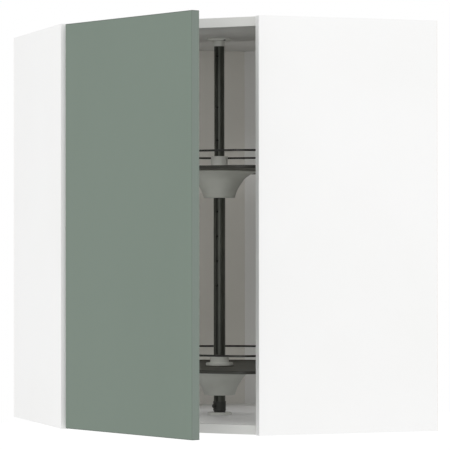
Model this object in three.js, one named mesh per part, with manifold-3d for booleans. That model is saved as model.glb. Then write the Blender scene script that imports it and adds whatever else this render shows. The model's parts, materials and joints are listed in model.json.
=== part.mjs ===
// Corner wall cabinet with a diagonal front, one hinged door and a two-shelf carousel.
// Millimetres, +Z up. The origin is the carousel axis at the underside of the bottom panel.
// The cabinet fills a room corner: the rear wall is the plane y = wall and the right wall the
// plane x = wall. The diagonal front faces (-1, -1).

import * as THREE from 'three';
import { mergeVertices } from 'three/addons/utils/BufferGeometryUtils.js';
import Module from 'manifold-3d';

// ---------------------------------------------------------------- carcass sizes
const carcassHeight = 800;
const carcassReach = 675;      // along each wall, from the room corner to a side panel's outer face
const sideDepth = 370;         // depth of a side panel, from its wall
const boardThickness = 18;
const frontSetback = 22;       // front edges of top and bottom, behind the side panels' front corners
const cornerCut = 152;         // leg of the chamfer behind the cabinet's back corner
const cornerBoardThickness = 18;
const backThickness = 3;
const backInset = 12;          // rear face of a back panel, from the wall
const grooveDepth = 6;
const grooveClearance = 0.2;
const axisBehindCorners = 192.5; // carousel axis, from the line through the front corners along each wall

// ---------------------------------------------------------------- carcass fitting sizes
const camRadius = 7.5;
const camDepth = 12.8;
const camFromEdge = 24;        // cam centre, from the panel's end
const camFromWall = 110;       // cam centre, from the wall that the side panel meets
const camBoltRadius = 2.5;
const camBoltIntoSide = 11;
const bracketWidth = 16;
const bracketDepth = 50;
const bracketHeight = 44;
const bracketBelowTop = 8;
const hookReach = 9;           // hook behind the back panel's rear face
const hookHeight = 12;
const hookLip = 3;
const bracketScrewRadius = 3.5;

// ---------------------------------------------------------------- door sizes
const doorSideGap = 17.2;      // front corner to the door's upright edge, along the front
const doorEndGap = 1.5;        // door's top and bottom edges, inside the side panels' ends
const doorThickness = 18;
const doorEase = 0.6;          // eased edges
const doorGap = 2;             // between the shut door and the front edges of top and bottom
const doorAjar = 24.6;         // degrees open at rest
const pivotAlong = 3.5;        // door's turning axis, from the left side's front corner along the front
const pivotBehind = 11.5;      // and behind the line through both side panels' front corners
const bumperRadius = 5;
const bumperThickness = 1.4;
const bumperFromEdge = 15;     // bumper centre, from the door's free edge

// ---------------------------------------------------------------- concealed hinge sizes
const hingeFromEnd = 100;      // hinge centre, from the door's top or bottom edge
const cupRadius = 17.5;
const cupDepth = 12.3;
const cupWall = 1.2;
const cupFloor = 1;
const cupFromEdge = 22.5;      // cup centre, from the door's hinge edge
const cupFlangeRadius = 20;
const cupFlangeThickness = 1.5;
const cupScrewSpacing = 45;
const cupScrewOffset = 9.5;
const cupEarRadius = 6.5;
const leverWidth = 5;
const leverHalfHeight = 4.4;
const leverEyeRadius = 4.2;
const leverPin = { along: 6, behind: -6.3, radius: 2 };  // from the cup's centre at the door's back face
const lugThickness = 3.6;
const armHalfHeight = 7;
const armCheek = 1.9;
const armWeb = 2.5;
const armReach = 6.5;          // arm's tip in front of the side panel's front edge
const plateFromFront = 38;     // mounting plate centre, behind the side panel's front edge
const plateThickness = 4;
const plateWingSpan = 52;
const plateRailHeight = 10;
const plateRailHalf = 4.7;

// ---------------------------------------------------------------- carousel sizes
const shelfClearance = 4;      // between a turning shelf and the shut door
const shelfFrontCut = 43.2;    // flat front of a shelf, inside its round edge
const shelfCornerRadius = 42;
const shelfThickness = 6;
const shelfEase = 1.2;
const shelfLip = 6;
const shelfRecess = 1.5;
const lowerShelfTop = 118;
const upperShelfTop = 518;
const railWire = 4;
const railRise = 29;           // rail centre above the shelf's top
const railInset = 2.6;         // rail centre inside the shelf's edge
const railPostRadius = 1.6;
const railPostAngles = [-40, 8, 48, 132, 172, 220];     // degrees, with the flat front at -90
const lowerTubeRadius = 11.8;
const upperTubeRadius = 10.3;
const tubeWall = 1.2;
const tubeGrooveWidth = 3;
const tubeGrooveDepth = 0.7;
const tubeHoleRadius = 2.6;
const holesBelowShelf = [88, 138, 188, 238];  // in the lower tube, below the upper shelf's top
const holesAboveShelf = [57, 124];            // in the upper tube, above the same shelf's top
const holeBelowTubeTop = 30.5;
const tubeOverlap = 70;        // upper tube inside the lower one
const hubBaseRadius = 27.6;
const hubBaseThickness = 5.5;
const lowerHubRadius = 19;
const lowerHubHeight = 19;
const upperHubRadius = 17;
const upperHubHeight = 24.6;
const hubPinHeight = 10;
const hubPinRadius = 2.2;
const bellWall = 2.4;
const bellSleeveWall = 2.5;
const bellCurve = [[78, 0], [76.4, 1.8], [66, 5], [53, 14], [45, 24.5], [37.4, 36.6], [32.9, 48], [32, 53]];
const clampHeight = 19;
const clampWall = 1;
const clampAboveFlange = 3;
const clampBoss = 0.8;         // seat of the knob, outside the ring
const clampKnobAngle = -160;   // degrees from +X
const clampKnobRadius = 3.8;
const clampKnobHeight = 2.8;

// ---------------------------------------------------------------- bearing sizes
const bearingRadius = 24.5;
const bearingThickness = 5;
const spigotHeight = 20;
const collarWall = 1.6;
const collarDrop = 11;
const runningGap = 0.5;
const fit = 0.3;               // between pieces that are turned or cut to each other
const screwRadius = 1.8;
const screwLength = 13;
const screwHeadRadius = 3.4;
const screwHeadHeight = 2;
const bearingScrewCircle = 18;
const bearingScrewAngle = -77; // degrees from +X, and one opposite

// ---------------------------------------------------------------- worked-out places
const root2 = Math.SQRT2;
const wall = (carcassReach + sideDepth) / 2 - axisBehindCorners;
const sideOuter = wall - carcassReach;             // outer face of a side panel
const sideInner = sideOuter + boardThickness;
const sideFront = wall - sideDepth;                // front edge of a side panel
const topUnderside = carcassHeight - boardThickness;
const cornerLine = sideOuter + sideFront;          // x + y on the line through the front corners
const frontLine = cornerLine + frontSetback * root2;
const chamferLine = 2 * wall - cornerCut;          // x + y on the outside of the back corner
const cornerFace = chamferLine - cornerBoardThickness * root2;
const backRear = wall - backInset;
const backFace = backRear - backThickness;
const frontWidth = (sideFront - sideOuter) * root2;
const doorWidth = frontWidth - 2 * doorSideGap;
const doorBack = frontSetback - doorGap;           // back face of the shut door, behind the corner line
const shelfRadius = -cornerLine / root2 - doorBack - shelfClearance;
const shelfFlat = shelfRadius - shelfFrontCut;     // flat front of a shelf, from the axis
const flangeTop = boardThickness + bearingThickness;
const frontTurn = -Math.PI / 4;                    // turns +X to run along the front, +Y inward
const bracketTop = topUnderside - bracketBelowTop;
const hingeHeights = { lower: doorEndGap + hingeFromEnd, upper: carcassHeight - doorEndGap - hingeFromEnd };
const camPanels = {
  bottom: { axis: boardThickness / 2, outside: 0, up: 1 },
  top: { axis: carcassHeight - boardThickness / 2, outside: carcassHeight, up: -1 },
};
const radians = THREE.MathUtils.degToRad;

// ---------------------------------------------------------------- colours
const material = (color, roughness, metalness) => new THREE.MeshStandardMaterial({ color, roughness, metalness });
const palette = {
  foil: () => material('#f1f1ef', 0.45, 0),
  backBoard: () => material('#e9e9e6', 0.6, 0),
  doorPaint: () => material('#7e8b80', 0.5, 0),
  shelfBoard: () => material('#41423a', 0.55, 0),
  darkSteel: () => material('#45484a', 0.4, 0.6),
  greyPlastic: () => material('#c6c7c2', 0.5, 0),
  steel: () => material('#b9bbbd', 0.3, 0.9),
  blackPlastic: () => material('#222324', 0.5, 0),
};

// ---------------------------------------------------------------- joining and cutting
const wasm = await Module();
wasm.setup();

function solidOf(geometry) {
  const bare = geometry.clone();
  bare.deleteAttribute('normal');
  bare.deleteAttribute('uv');
  const merged = mergeVertices(bare, 1e-4);
  const vertProperties = new Float32Array(merged.attributes.position.array);
  const triVerts = new Uint32Array(merged.index.array);
  const solid = new wasm.Manifold(new wasm.Mesh({ numProp: 3, vertProperties, triVerts }));
  if (solid.volume() > 0) return solid;
  for (let i = 0; i < triVerts.length; i += 3) {
    [triVerts[i], triVerts[i + 1]] = [triVerts[i + 1], triVerts[i]];   // faces point out
  }
  return new wasm.Manifold(new wasm.Mesh({ numProp: 3, vertProperties, triVerts }));
}

function geometryOf(solid) {
  const mesh = solid.getMesh();
  const geometry = new THREE.BufferGeometry();
  geometry.setAttribute('position', new THREE.BufferAttribute(new Float32Array(mesh.vertProperties), 3));
  geometry.setIndex(new THREE.BufferAttribute(new Uint32Array(mesh.triVerts), 1));
  geometry.computeVertexNormals();
  return geometry;
}

function join(...forms) {
  return geometryOf(forms.map(solidOf).reduce((whole, form) => whole.add(form)));
}

function cut(form, ...tools) {
  return geometryOf(tools.map(solidOf).reduce((whole, tool) => whole.subtract(tool), solidOf(form)));
}

function piece(name, finish, geometry) {
  const mesh = new THREE.Mesh(geometryOf(solidOf(geometry)), palette[finish]());
  mesh.name = name;
  return mesh;
}

// ---------------------------------------------------------------- simple forms
function block(x0, x1, y0, y1, z0, z1) {
  const box = new THREE.BoxGeometry(x1 - x0, y1 - y0, z1 - z0);
  return box.translate((x0 + x1) / 2, (y0 + y1) / 2, (z0 + z1) / 2);
}

// A round bar along Z from z0 to z1.
function rod(radius, z0, z1, x = 0, y = 0, sides = 20) {
  const bar = new THREE.CylinderGeometry(radius, radius, z1 - z0, sides);
  return bar.rotateX(Math.PI / 2).translate(x, y, (z0 + z1) / 2);
}

// A turned form: [radius, height] pairs round the Z axis, from axis to axis or closed on itself.
function turned(profile, sides = 24) {
  const points = profile.map(([radius, height]) => new THREE.Vector2(radius, height));
  return new THREE.LatheGeometry(points, sides).rotateX(Math.PI / 2);
}

// An outline in X and Y carried up from z0 to z1, with its rims eased if a bevel is given.
function slab(outline, z0, z1, bevel = 0, curveSegments = 5) {
  const shape = outline instanceof THREE.Shape
    ? outline
    : new THREE.Shape(outline.map(([x, y]) => new THREE.Vector2(x, y)));
  const geometry = new THREE.ExtrudeGeometry(shape, {
    depth: z1 - z0 - 2 * bevel,
    bevelEnabled: bevel > 0,
    bevelThickness: bevel,
    bevelSize: bevel,
    bevelOffset: -bevel,
    bevelSegments: 1,
    curveSegments,
  });
  return geometry.translate(0, 0, z0 + bevel);
}

// A polygon whose corners are rounded off by a radius.
function rounded(points, radius) {
  const corners = points.map(([x, y]) => new THREE.Vector2(x, y));
  const shape = new THREE.Shape();
  corners.forEach((corner, i) => {
    const before = corners[(i + corners.length - 1) % corners.length];
    const after = corners[(i + 1) % corners.length];
    const start = corner.clone().lerp(before, radius / corner.distanceTo(before));
    const end = corner.clone().lerp(after, radius / corner.distanceTo(after));
    if (i === 0) shape.moveTo(start.x, start.y);
    else shape.lineTo(start.x, start.y);
    shape.quadraticCurveTo(corner.x, corner.y, end.x, end.y);
  });
  shape.closePath();
  return shape;
}

// A strap of even width that follows a smooth curve through points in X and Y.
function strap(points, width, steps = 8) {
  const curve = new THREE.SplineCurve(points.map(([x, y]) => new THREE.Vector2(x, y)));
  const left = [];
  const right = [];
  for (let i = 0; i <= steps; i++) {
    const at = curve.getPointAt(i / steps);
    const along = curve.getTangentAt(i / steps);
    const side = new THREE.Vector2(-along.y, along.x).multiplyScalar(width / 2);
    left.push(at.clone().add(side));
    right.unshift(at.clone().sub(side));
  }
  return new THREE.Shape([...left, ...right]);
}

// Turns a form built along Z so that its length runs along X, with its X to Y and its Y to Z.
const alongX = (form) => form.applyMatrix4(new THREE.Matrix4().makeBasis(
  new THREE.Vector3(0, 1, 0), new THREE.Vector3(0, 0, 1), new THREE.Vector3(1, 0, 0)));

// The carcass is its own mirror image across the upright plane x = y.
const mirrored = (form) => form.clone().applyMatrix4(
  new THREE.Matrix4().set(0, 1, 0, 0, 1, 0, 0, 0, 0, 0, 1, 0, 0, 0, 0, 1));

// A pan-head screw with the underside of its head at z = 0 and its shank below.
function panScrew(radius, length, headRadius, headHeight) {
  return turned([[0, -length], [radius, -length + radius], [radius, 0], [headRadius, 0],
    [headRadius, headHeight * 0.6], [headRadius * 0.75, headHeight], [0, headHeight]], 10);
}

// ---------------------------------------------------------------- carcass
const camAlong = wall - camFromWall;
const camCentre = sideInner + camFromEdge;

function sidePanel() {
  const board = block(sideOuter, sideInner, sideFront, wall, 0, carcassHeight);
  const groove = block(sideInner - grooveDepth, sideInner + 1,
    backFace - grooveClearance, backRear + grooveClearance, -1, carcassHeight + 1);
  const bolts = Object.values(camPanels).map(({ axis }) => alongX(
    rod(camBoltRadius + fit, sideInner - camBoltIntoSide - fit, sideInner + 1, 0, 0, 10)).translate(0, camAlong, axis));
  return cut(board, groove, ...bolts);
}

function endPanel({ axis, outside, up }) {
  const z0 = axis - boardThickness / 2;
  const inside = outside + up * boardThickness;
  const outline = [[sideInner, frontLine - sideInner], [frontLine - sideInner, sideInner], [wall, sideInner],
    [wall, chamferLine - wall], [chamferLine - wall, wall], [sideInner, wall]];
  const grooveZ = [inside - up * grooveDepth, inside + up].sort((a, b) => a - b);
  const groove = block(sideInner - 1, cornerFace - backFace, backFace - grooveClearance,
    backRear + grooveClearance, ...grooveZ);
  const camZ = [outside - up, outside + up * (camDepth + fit)].sort((a, b) => a - b);
  const camBore = rod(camRadius + fit, ...camZ, camCentre, camAlong, 16);
  const boltBore = alongX(rod(camBoltRadius + fit, sideInner - 1, camCentre, 0, 0, 10)).translate(0, camAlong, axis);
  const screwBores = bearingScrewPlaces().map(([x, y]) => {
    const depth = [inside + up, inside - up * (screwLength - bearingThickness + screwHeadHeight + fit)];
    return rod(screwRadius + fit, Math.min(...depth), Math.max(...depth), x, y, 10);
  });
  return cut(slab(outline, z0, z0 + boardThickness), groove, mirrored(groove), camBore, mirrored(camBore),
    boltBore, mirrored(boltBore), ...screwBores);
}

function backPanel() {
  const meeting = cornerFace - fit * root2;
  const end = sideInner - grooveDepth + grooveClearance;
  const outline = [[end, backFace], [meeting - backFace, backFace], [meeting - backRear, backRear], [end, backRear]];
  const panel = slab(outline, boardThickness - grooveDepth + grooveClearance,
    topUnderside + grooveDepth - grooveClearance);
  const notch = block(end - 1, sideInner + bracketWidth + 2, backFace - 1, backRear + 1,
    bracketTop - hookHeight - hookReach - 4, carcassHeight);
  return cut(panel, notch);
}

function cornerBoard() {
  return slab([[cornerFace - backRear, backRear], [chamferLine - backRear, backRear],
    [backRear, chamferLine - backRear], [backRear, cornerFace - backRear]], boardThickness, topUnderside);
}

// A disc let into the outside of a panel, with a mouth for the bolt's head.
function camLock({ axis, outside, up }) {
  const z = [outside, outside + up * camDepth].sort((a, b) => a - b);
  const mouth = 2 * camBoltRadius;
  const mouthZ = [axis - up * (mouth / 2 + fit), outside + up * (camDepth + 1)].sort((a, b) => a - b);
  return cut(rod(camRadius, ...z, camCentre, camAlong, 16),
    block(camCentre - camRadius - 1, camCentre + camBoltRadius, camAlong - mouth / 2 - fit,
      camAlong + mouth / 2 + fit, ...mouthZ));
}

function camBolt({ axis }) {
  const neck = camBoltRadius * 0.6;
  const start = sideInner - camBoltIntoSide;
  const profile = [[0, start], [camBoltRadius, start], [camBoltRadius, camCentre - 5], [neck, camCentre - 4],
    [neck, camCentre - 2], [camBoltRadius, camCentre - 1.2], [camBoltRadius, camCentre + 1],
    [0, camCentre + 2]];
  return alongX(turned(profile, 8)).translate(0, camAlong, axis);
}

// A pressed bracket on the side panel whose hook reaches behind the back panel.
function suspensionBracket() {
  const front = backFace - fit - bracketDepth;
  const rear = backFace - fit;
  const hookEnd = backRear + hookReach;
  const outline = [[front, bracketTop], [hookEnd, bracketTop], [hookEnd, bracketTop - hookHeight - hookReach],
    [hookEnd - hookLip, bracketTop - hookHeight - hookReach], [hookEnd - hookLip, bracketTop - hookHeight],
    [rear, bracketTop - hookHeight], [rear, bracketTop - bracketHeight], [front, bracketTop - bracketHeight]];
  const body = alongX(slab(outline, sideInner, sideInner + bracketWidth));
  const bore = rod(bracketScrewRadius + fit, -bracketDepth * 0.7, 1, 0, 0, 12).rotateX(Math.PI / 2);
  return cut(body, bore.translate(sideInner + bracketWidth / 2, front, bracketTop - bracketHeight * 0.6));
}

function suspensionScrew() {
  const screw = panScrew(bracketScrewRadius, bracketDepth * 0.6, bracketScrewRadius * 1.6, 2.4);
  const front = backFace - fit - bracketDepth;
  return screw.rotateX(Math.PI / 2)
    .translate(sideInner + bracketWidth / 2, front - fit, bracketTop - bracketHeight * 0.6);
}

function carcass() {
  const group = new THREE.Group();
  group.add(
    piece('left_side_panel', 'foil', sidePanel()),
    piece('right_side_panel', 'foil', mirrored(sidePanel())),
    piece('bottom_panel', 'foil', endPanel(camPanels.bottom)),
    piece('top_panel', 'foil', endPanel(camPanels.top)),
    piece('rear_back_panel', 'backBoard', backPanel()),
    piece('right_back_panel', 'backBoard', mirrored(backPanel())),
    piece('corner_back_board', 'foil', cornerBoard()),
    piece('left_suspension_bracket', 'steel', suspensionBracket()),
    piece('right_suspension_bracket', 'steel', mirrored(suspensionBracket())),
    piece('left_suspension_screw', 'steel', suspensionScrew()),
    piece('right_suspension_screw', 'steel', mirrored(suspensionScrew())),
  );
  for (const [end, place] of Object.entries(camPanels)) {
    group.add(
      piece(`${end}_left_cam_lock`, 'steel', camLock(place)),
      piece(`${end}_right_cam_lock`, 'steel', mirrored(camLock(place))),
      piece(`${end}_left_cam_bolt`, 'steel', camBolt(place)),
      piece(`${end}_right_cam_bolt`, 'steel', mirrored(camBolt(place))),
    );
  }
  return group;
}

// ---------------------------------------------------------------- concealed hinges, carcass side
// Plate and arm are drawn from the side panel's inner face (X) and front edge (Y), at the hinge's height.
function hingePlate() {
  const half = plateWingSpan / 2;
  const near = plateFromFront - 20;
  const far = plateFromFront + 26;
  const bar = rounded([[near, -armHalfHeight], [far, -armHalfHeight], [far, armHalfHeight],
    [near, armHalfHeight]], 3);
  const wings = rounded([[plateFromFront - 8, -half], [plateFromFront + 8, -half],
    [plateFromFront + 8, half], [plateFromFront - 8, half]], 6);
  const rail = block(plateThickness - 1, plateThickness + plateRailHeight, plateFromFront - 2, plateFromFront + 22,
    -plateRailHalf, plateRailHalf);
  const heads = [-1, 1].map((side) => alongX(rod(4.5, plateThickness - 1, plateThickness + 1.2,
    plateFromFront, side * (half - 7), 12)));
  const bore = alongX(rod(screwRadius + fit, plateThickness + 2, plateThickness + plateRailHeight + 1,
    plateFromFront + 12, 0, 10));
  return cut(join(alongX(slab(bar, 0, plateThickness, 0, 3)), alongX(slab(wings, 0, plateThickness, 0, 3)), rail,
    ...heads), bore);
}

// A channel whose web runs from above the plate's rail out to the fork at its tip.
function hingeArm() {
  const seat = plateThickness + fit;
  const railTop = plateThickness + plateRailHeight + fit;
  const back = railTop + armWeb;
  const forkTop = back + 17;
  const end = plateFromFront + 24;
  const outline = rounded([[seat + 16, -armReach], [forkTop, -armReach], [forkTop, plateFromFront - 18],
    [back, plateFromFront], [back, end], [seat, end], [seat, plateFromFront - 4], [seat + 16, plateFromFront - 22]],
  2);
  const hollow = [[seat - 5, -armReach - 2], [forkTop - armWeb, -armReach - 2],
    [forkTop - armWeb, plateFromFront - 19], [railTop, plateFromFront - 1], [railTop, end + 2],
    [seat - 5, end + 2]];
  const inner = armHalfHeight - armCheek;
  const screwHole = alongX(rod(screwRadius + 2 * fit, railTop - 1, back + 1, plateFromFront + 12, 0, 10));
  return cut(slab(outline, -armHalfHeight, armHalfHeight, 0, 3), slab(hollow, -inner, inner), screwHole);
}

function hingeArmScrew() {
  const back = plateThickness + plateRailHeight + fit + armWeb;
  return alongX(panScrew(screwRadius, plateRailHeight, 3.6, 2.2)).translate(back + fit, plateFromFront + 12, 0);
}

function hingesOnSide() {
  const group = new THREE.Group();
  for (const [end, height] of Object.entries(hingeHeights)) {
    const place = new THREE.Group();
    place.position.set(sideInner, sideFront, height);
    place.add(
      piece(`${end}_hinge_plate`, 'steel', hingePlate()),
      piece(`${end}_hinge_arm`, 'steel', hingeArm()),
      piece(`${end}_hinge_arm_screw`, 'steel', hingeArmScrew()),
    );
    group.add(place);
  }
  return group;
}

// ---------------------------------------------------------------- door and its hinge halves
// The door is drawn shut, from its turning axis: X along the front, Y inward, Z up.
const doorStart = doorSideGap - pivotAlong;
const doorBackY = doorBack - pivotBehind;
const cupX = doorStart + cupFromEdge;

const alongY = (form) => form.rotateX(-Math.PI / 2);   // a form built along Z now runs along Y

function doorPanel() {
  const outline = [[doorStart, -carcassHeight + doorEndGap], [doorStart + doorWidth, -carcassHeight + doorEndGap],
    [doorStart + doorWidth, -doorEndGap], [doorStart, -doorEndGap]];
  const panel = alongY(slab(outline, doorBackY - doorThickness, doorBackY, doorEase));
  const bores = Object.values(hingeHeights).flatMap((height) => [
    alongY(rod(cupRadius + fit, doorBackY - cupDepth - fit, doorBackY + 1, cupX, -height, 24)),
    ...[-1, 1].map((side) => alongY(rod(screwRadius + fit, doorBackY - screwLength, doorBackY + 1,
      cupX + cupScrewOffset, -height + side * cupScrewSpacing / 2, 10))),
  ]);
  return cut(panel, ...bores);
}

// A pressed cup with an eared flange and two lugs that carry the lever's pin.
function hingeCup() {
  const inner = cupRadius - cupWall;
  const top = cupFlangeThickness;
  const floor = cupFloor - cupDepth;
  const bowl = turned([[0, -cupDepth], [cupRadius, -cupDepth], [cupRadius, top], [inner, top], [inner, floor],
    [0, floor]], 20);
  const ears = slab(rounded([[cupScrewOffset - cupEarRadius, -cupScrewSpacing / 2 - cupEarRadius],
    [cupScrewOffset + cupEarRadius, -cupScrewSpacing / 2 - cupEarRadius],
    [cupScrewOffset + cupEarRadius, cupScrewSpacing / 2 + cupEarRadius],
    [cupScrewOffset - cupEarRadius, cupScrewSpacing / 2 + cupEarRadius]], cupEarRadius), 0, top, 0, 3);
  const flange = join(rod(cupFlangeRadius, 0, top), ears);
  const holes = [-1, 1].map((side) => rod(screwRadius + fit, -1, top + 1, cupScrewOffset,
    side * cupScrewSpacing / 2, 10));
  const open = rod(inner, floor, top + 1);
  const lugHalf = leverPin.radius + 1.8;
  const inside = leverHalfHeight + 0.8;
  const lugs = [-1, 1].map((side) => block(leverPin.along - lugHalf, leverPin.along + lugHalf,
    Math.min(side * inside, side * (inside + lugThickness)), Math.max(side * inside, side * (inside + lugThickness)),
    floor - 0.5, leverPin.behind + lugHalf));
  const pinBore = rod(leverPin.radius + 0.15, -20, 20, 0, 0, 12).rotateX(Math.PI / 2)
    .translate(leverPin.along, 0, leverPin.behind);
  return cut(join(bowl, cut(flange, open, ...holes), ...lugs), pinBore);
}

// The lever swings out of the cup and lies between the cheeks of the arm's fork.
function hingeLever() {
  const path = [[leverPin.along, leverPin.behind], [4.6, 1.6], [-5, 9.4], [-18.3, 20.5]];
  const eye = rod(leverEyeRadius, -leverHalfHeight, leverHalfHeight, leverPin.along, leverPin.behind, 16);
  const tip = rod(leverWidth / 2, -leverHalfHeight, leverHalfHeight, ...path[path.length - 1], 12);
  const body = slab(strap(path, leverWidth), -leverHalfHeight, leverHalfHeight);
  const bore = rod(leverPin.radius + fit, -20, 20, leverPin.along, leverPin.behind, 12);
  return cut(join(body, eye, tip), bore);
}

function hingeLeverPin() {
  const half = leverHalfHeight + 0.8 + lugThickness;
  return rod(leverPin.radius, -half, half, 0, 0, 12);
}

// A soft dome near the free edge, where the shut door meets the front edge of the bottom or top.
function bumper() {
  return alongY(turned([[0, 0], [bumperRadius, 0], [bumperRadius, bumperThickness * 0.4],
    [bumperRadius * 0.7, bumperThickness * 0.9], [0, bumperThickness]], 16));
}

function door() {
  const group = new THREE.Group();
  group.position.set(sideOuter + (pivotAlong + pivotBehind) / root2, sideFront + (pivotBehind - pivotAlong) / root2, 0);
  group.rotation.z = frontTurn - radians(doorAjar);
  group.add(piece('door_panel', 'doorPaint', doorPanel()));
  for (const [end, height] of Object.entries(hingeHeights)) {
    const cup = piece(`${end}_hinge_cup`, 'steel', alongY(hingeCup()));
    cup.position.set(cupX, doorBackY + fit, height);
    const lever = piece(`${end}_hinge_lever`, 'steel', hingeLever());
    lever.position.set(cupX, doorBackY + fit, height);
    const pin = piece(`${end}_hinge_pin`, 'steel', hingeLeverPin());
    pin.position.set(cupX + leverPin.along, doorBackY + fit + leverPin.behind, height);
    group.add(cup, lever, pin);
    [['a', -1], ['b', 1]].forEach(([mark, side]) => {
      const screw = piece(`${end}_hinge_cup_screw_${mark}`, 'steel',
        alongY(panScrew(screwRadius, screwLength - 2, screwHeadRadius, screwHeadHeight)));
      screw.position.set(cupX + cupScrewOffset, doorBackY + cupFlangeThickness + 2 * fit,
        height + side * cupScrewSpacing / 2);
      group.add(screw);
    });
  }
  for (const [end, { axis }] of Object.entries(camPanels)) {
    const dome = piece(`${end}_door_bumper`, 'greyPlastic', bumper());
    dome.position.set(doorStart + doorWidth - bumperFromEdge, doorBackY + fit / 3, axis);
    group.add(dome);
  }
  return group;
}

// ---------------------------------------------------------------- bearings
function bearingScrewPlaces() {
  return [0, 180].map((turn) => {
    const angle = radians(bearingScrewAngle + turn);
    return [bearingScrewCircle * Math.cos(angle), bearingScrewCircle * Math.sin(angle)];
  });
}

// Both bearings are drawn with the face that meets the panel at z = 0 and the pole side above.
function bearingScrewHoles(height) {
  return bearingScrewPlaces().flatMap(([x, y]) => [
    rod(screwRadius + fit, -1, height + 1, x, y, 10),
    rod(screwHeadRadius + fit, height - screwHeadHeight - fit, height + 1, x, y, 10),
  ]);
}

function bottomBearing() {
  const spigot = lowerTubeRadius - tubeWall - fit - 2.4 - runningGap;
  const tip = bearingThickness + spigotHeight;
  const body = turned([[0, 0], [bearingRadius, 0], [bearingRadius, bearingThickness - 1.5],
    [bearingRadius - 1.5, bearingThickness], [spigot, bearingThickness], [spigot, tip - 1.5], [spigot - 1.5, tip],
    [0, tip]]);
  return cut(body, ...bearingScrewHoles(bearingThickness));
}

function topBearing() {
  const spigot = upperTubeRadius - tubeWall - runningGap;
  const bore = upperTubeRadius + runningGap;
  const rim = bearingThickness + collarDrop;
  const body = turned([[0, 0], [bearingRadius, 0], [bearingRadius, bearingThickness - 1.5],
    [bearingRadius - 1.5, bearingThickness], [bore + collarWall, bearingThickness], [bore + collarWall, rim],
    [bore, rim], [bore, bearingThickness], [spigot, bearingThickness], [spigot, rim + 1],
    [spigot - 1.5, rim + 2.5], [0, rim + 2.5]]);
  return cut(body, ...bearingScrewHoles(bearingThickness).map((hole) => hole.scale(1, -1, 1)));
}

function bearings() {
  const group = new THREE.Group();
  const bottom = piece('bottom_bearing', 'greyPlastic', bottomBearing());
  bottom.position.z = boardThickness;
  const top = piece('top_bearing', 'greyPlastic', topBearing());
  top.position.z = topUnderside;
  top.rotation.x = Math.PI;
  group.add(bottom, top);
  bearingScrewPlaces().forEach(([x, y], i) => {
    const seat = bearingThickness - screwHeadHeight;
    const lower = piece(`bottom_bearing_screw_${i + 1}`, 'steel',
      panScrew(screwRadius, screwLength - 3, screwHeadRadius, screwHeadHeight));
    lower.position.set(x, y, boardThickness + seat);
    const upper = piece(`top_bearing_screw_${i + 1}`, 'steel',
      panScrew(screwRadius, screwLength - 3, screwHeadRadius, screwHeadHeight));
    upper.position.set(x, y, topUnderside - seat);
    upper.rotation.x = Math.PI;
    group.add(lower, upper);
  });
  return group;
}

// ---------------------------------------------------------------- carousel
// The carousel is drawn with the shelves' flat fronts at -Y.
function shelfShape(inset) {
  const radius = shelfRadius - inset;
  const flat = shelfFlat - inset;
  const corner = shelfCornerRadius - inset;
  const cornerX = Math.sqrt((radius - corner) ** 2 - (flat - corner) ** 2);
  const cornerY = corner - flat;
  const turn = Math.atan2(cornerY, cornerX);
  const shape = new THREE.Shape();
  shape.moveTo(-cornerX, -flat);
  shape.lineTo(cornerX, -flat);
  shape.absarc(cornerX, cornerY, corner, -Math.PI / 2, turn, false);
  const sweep = (Math.PI - 2 * turn) / 4;
  for (let i = 0; i < 4; i++) shape.absarc(0, 0, radius, turn + i * sweep, turn + (i + 1) * sweep, false);
  shape.absarc(-cornerX, cornerY, corner, Math.PI - turn, 1.5 * Math.PI, false);
  return shape;
}

function shelf(top) {
  const plate = slab(shelfShape(0), top - shelfThickness, top, shelfEase);
  const recess = slab(shelfShape(shelfLip), top - shelfRecess, top + 1);
  const boss = rod(hubBaseRadius + 2, top - shelfRecess - 1, top, 0, 0, 24);
  const bore = rod(lowerTubeRadius + fit, top - shelfThickness - 1, top + 1, 0, 0, 24);
  return cut(join(cut(plate, recess), boss), bore);
}

function rail(top) {
  const ring = shelfShape(railInset - railWire / 2);
  ring.holes.push(shelfShape(railInset + railWire / 2));
  const centre = top + railRise;
  const wire = slab(ring, centre - railWire / 2, centre + railWire / 2, railWire * 0.3);
  const posts = railPostAngles.map((angle) => {
    const [x, y] = shelfEdgePoint(radians(angle), railInset);
    return rod(railPostRadius, top, centre, x, y, 6);
  });
  return join(wire, ...posts);
}

// Where a ray from the axis meets the round part of a shelf's outline.
function shelfEdgePoint(angle, inset) {
  const reach = shelfRadius - inset;
  return [reach * Math.cos(angle), reach * Math.sin(angle)];
}

// A trumpet-shaped shell under a shelf: flared wall, closed foot and sleeve round the pole.
function bell(underside) {
  const outer = new THREE.SplineCurve(bellCurve.map(([radius, drop]) => new THREE.Vector2(radius, -drop)));
  const foot = bellCurve[bellCurve.length - 1];
  const sleeve = lowerTubeRadius + fit;
  const steps = 7;
  const outside = [];
  const inside = [];
  for (let i = 0; i <= steps; i++) {
    const at = outer.getPointAt(i / steps);
    const along = outer.getTangentAt(i / steps);
    outside.push([at.x, at.y]);
    const within = [at.x + along.y * bellWall, at.y - along.x * bellWall];
    if (within[1] < -1.5 && within[1] > -foot[1] + bellWall + 0.5) inside.push(within);
  }
  const rim = bellCurve[0][0] - 6;
  const profile = [...outside, [sleeve, -foot[1]], [sleeve, 0], [sleeve + bellSleeveWall, 0],
    [sleeve + bellSleeveWall, -foot[1] + bellWall], [foot[0] - bellWall, -foot[1] + bellWall],
    ...inside.reverse(), [rim, 0], outside[0]];
  return turned(profile).translate(0, 0, underside);
}

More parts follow.
